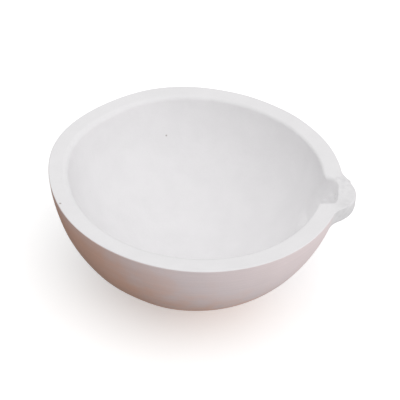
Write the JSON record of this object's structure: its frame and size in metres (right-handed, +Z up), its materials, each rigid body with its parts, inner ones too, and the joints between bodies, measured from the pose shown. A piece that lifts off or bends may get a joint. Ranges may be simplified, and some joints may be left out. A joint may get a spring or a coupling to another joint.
{
  "type": "evaporating dish",
  "caption": "Thick-walled matte white ceramic dish with a spherical bowl, a flat rim, a small pouring lip and a flat bottom to stand on.",
  "frame": {"origin": "centre of the flat bottom that the dish stands on", "axes": "+Z up out of the bowl, +X from the dish's axis along the pouring lip, +Y to the left of the lip"},
  "size_m": [0.1257, 0.1198, 0.05],
  "materials": {
    "ceramic": "matte"
  },
  "bodies": {
    "root": {"dish": "ceramic"}
  },
  "joints": []
}
